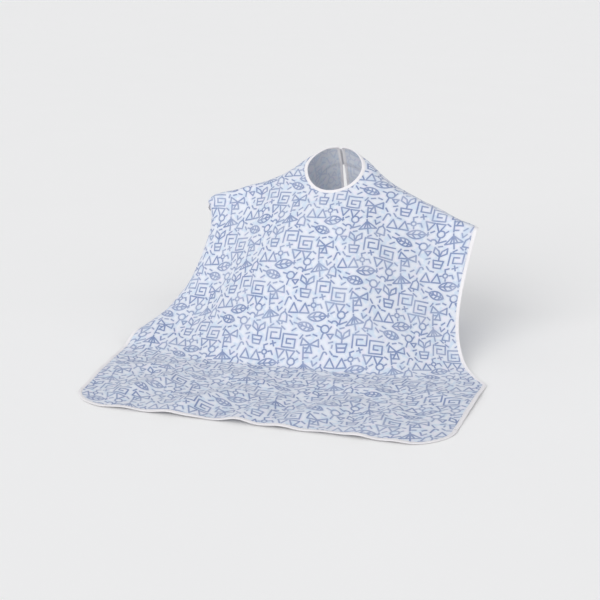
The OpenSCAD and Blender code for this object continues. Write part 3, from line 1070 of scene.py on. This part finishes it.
def box(x0, x1, y0, y1):
    return [(x0, y0), (x1, y0), (x1, y1), (x0, y1), (x0, y0)]


def bristle(parts, x_range, y_range, pitch, base, tip, shape):
    """Small bent strands on a patch. shape is 'loop' for arches and 'hook' for open hooks."""
    (x0, x1), (y0, y1) = x_range, y_range
    inset = 0.0012
    xs = np.arange(x0 + inset, x1 - inset / 2, pitch)
    ys = np.arange(y0 + inset, y1 - inset / 2, pitch * 0.87)
    looped = shape == "loop"
    height, reach, turn = tip - base, 0.0006 if looped else 0.0004, math.pi * (1.0 if looped else 0.80)
    for j, y in enumerate(ys):
        for i, x in enumerate(xs):
            spin = (i * 2.399 + j * 1.618) % math.tau if looped else (i + j) % 2 * math.pi
            jitter = 0.2 * pitch * math.sin(i * 12.9 + j * 78.2)
            px, py = x + jitter + (j % 2) * pitch / 2, y + 0.2 * pitch * math.sin(i * 39.3 + j * 11.1)
            if px > x1 - inset:
                continue
            root, up = worn.lifted(px, py, base)
            along = Vector((math.cos(spin), math.sin(spin), 0))
            along = (along - up * along.dot(up)).normalized()
            bend = [root - along * reach * math.cos(a) + up * height * math.sin(a)
                    for a in np.linspace(0, turn, 5)]
            across = along.cross(up)
            points, faces = [], []
            for k, centre in enumerate(bend):
                lead = (bend[min(k + 1, 4)] - bend[max(k - 1, 0)]).normalized()
                out = lead.cross(across)
                points += [centre + STRAND_R * to for to in (across, out, -across, -out)]
            for k, q in itertools.product(range(4), range(4)):
                a, b = 4 * k + q, 4 * k + (q + 1) % 4
                faces.append((a, b, b + 4, a + 4))
            faces += [(3, 2, 1, 0), (16, 17, 18, 19)]
            parts.add(points, faces, kind=1)


def pad(name, spans, material, lift, thickness, *strands):
    """A patch of hook or loop tape with its strands."""
    parts = Parts()
    slab(parts, *spans, lambda x: lift, thickness, (0.002, 0.002))
    bristle(parts, *spans, *strands)
    return parts.make(name, material, material)


loop_pad = pad("loop_pad", (LOOP_X, LOOP_Y), LOOPS, 0.00015, 0.00085, 0.00135, 0.00095, 0.0016, "loop")
hook_pad = pad("hook_pad", (HOOK_X, HOOK_Y), HOOKS, 0.0026, 0.00055, 0.00155, 0.00265, 0.0020, "hook")

strap_parts = Parts()
slab(strap_parts, STRAP_X, STRAP_Y, strap_lift, STRAP_T - 0.0001, (STRAP_END_R, 0.0015), rim=0.00025)
for seam in (box(*SEWN_X, *SEWN_Y), tuple(zip(SEWN_X, SEWN_Y)), tuple(zip(SEWN_X, SEWN_Y[::-1]))):
    stitch_line(strap_parts, seam, strap_top, kind=1)
strap = strap_parts.make("neck_strap", STRAP, THREAD)


def seam_piece(name, corners, *lifts):
    parts = Parts()
    stitch_line(parts, corners, *lifts)
    return parts.make(name, THREAD)


hook_stitches = seam_piece("hook_pad_stitches", box(-0.039, -0.015, 0.064, 0.080),
                           lambda x: 0.0030 + STRAP_T - 0.00002)
loop_stitches = seam_piece("loop_pad_stitches", box(-0.048, -0.014, 0.063, 0.081),
                           lambda x: 0.00106, lambda x: -0.00030)


def care_label():
    """A folded satin ribbon inside the back. Its upper edge is sewn and its free edge curls a little."""
    parts = Parts()
    (x0, x1), (y0, y1) = LABEL_X, LABEL_Y
    sections = []
    for x in np.linspace(x0, x1, 24):
        wave = 0.00015 * math.sin(x * 420)
        top = [(x, mix(y0, y1, t), -0.00028 - 0.0006 * t * t + wave * t) for t in np.linspace(0, 1, 13)]
        sections.append(top + [(x, y, hang - 0.00034) for x, y, hang in top[::-1]])
    add_plate(parts, sections)
    stitch_line(parts, [(x0 + 0.001, y0 + 0.0018), (x1 - 0.001, y0 + 0.0018)], lambda x: -0.00066, kind=1)
    return parts.make("care_ribbon", SATIN, THREAD)


label = care_label()


# ---- how the pieces go with the frame ----

for piece in (cape, left_tape, right_tape):
    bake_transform(piece)
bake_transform(strap)
for piece in (neck_tape, loop_pad, loop_stitches, label):
    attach(piece, "cape")
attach(hem_tape, "flap")
for piece in (hook_pad, hook_stitches):
    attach(piece, "tab")
for piece, slot, nodes in (
    (cape, "printed_cloth", ("cape_cloth", "table_flap")),
    (neck_tape, "white_tape", ("neck_binding",)),
    (left_tape, "white_tape", ("left_binding",)),
    (right_tape, "white_tape", ("right_binding",)),
    (hem_tape, "white_tape", ("flap_binding",)),
    (strap, "tab_cloth", ("closure_tab",)),
    (hook_pad, "hook_tape", ("hook_patch",)),
    (loop_pad, "loop_tape", ("loop_patch",)),
    (hook_stitches, "thread", ("hook_stitching",)),
    (loop_stitches, "thread", ("loop_stitching",)),
    (label, "label_ribbon", ("care_label",)),
):
    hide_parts(*nodes)


# ---- the set: a pale table top, soft light and the camera ----

def plain_surface(name, colour, roughness):
    """An even pale surface with hardly any mottling."""
    material, net = new_material(name)
    place = net.node("ShaderNodeTexCoord").outputs["Object"]
    share = net.noise(place, 0.25, detail=3.0)
    tone = net.blend(share, (*(c * 0.985 for c in colour), 1), (*colour, 1))
    net.surface(Base_Color=tone, Roughness=roughness, Specular_IOR_Level=0.2)
    return material


floor_z = TABLE_Z - 0.0013
half = 60.0
floor = mesh_object("table_top", [(-half, -half, floor_z), (half, -half, floor_z), (half, half, floor_z),
                                  (-half, half, floor_z)], [(0, 1, 2, 3)],
                    materials=[plain_surface("pale_top", (0.97, 0.97, 0.97), 0.75)])


def soft_light(name, toward, strength, angle, colour=(1, 1, 1)):
    """Even light from one side of the studio, as soft as its angle in degrees is wide."""
    light = bpy.data.lights.new(name, "SUN")
    light.energy = strength
    light.angle = math.radians(angle)
    light.color = colour
    made = new_object(name, light)
    made.rotation_mode = "QUATERNION"
    made.rotation_quaternion = (-Vector(toward)).to_track_quat("-Z", "Y")


soft_light("key", (-0.45, -1.0, 0.62), 1.45, 50, (1.0, 0.995, 0.985))
soft_light("fill", (1.3, -0.6, 0.7), 0.40, 60)
soft_light("back", (-0.3, 1.0, 1.0), 0.12, 60)
world = bpy.data.worlds.new("studio")
bpy.context.scene.world = world
world.use_nodes = True
world.node_tree.nodes["Background"].inputs[0].default_value = (0.98, 0.985, 1.0, 1)
world.node_tree.nodes["Background"].inputs[1].default_value = 0.57
bpy.context.scene.view_settings.view_transform = "Standard"

CAMERA_TURN, CAMERA_PITCH, CAMERA_DISTANCE = math.radians(16), math.radians(17), 2.5
right = Vector((math.cos(CAMERA_TURN), math.sin(CAMERA_TURN), 0))
behind = Vector((math.sin(CAMERA_TURN), -math.cos(CAMERA_TURN), 0))
back = behind * math.cos(CAMERA_PITCH) + Vector((0, 0, math.sin(CAMERA_PITCH)))
up = back.cross(right)
lens = bpy.data.cameras.new("camera")
lens.sensor_width, lens.lens = 36, 72.1
camera = new_object("camera", lens)
camera.location = back * CAMERA_DISTANCE - right * 0.0707 - up * 0.2746
camera.rotation_mode = "QUATERNION"
camera.rotation_quaternion = Matrix((right, up, back)).transposed().to_quaternion()
bpy.context.scene.camera = camera
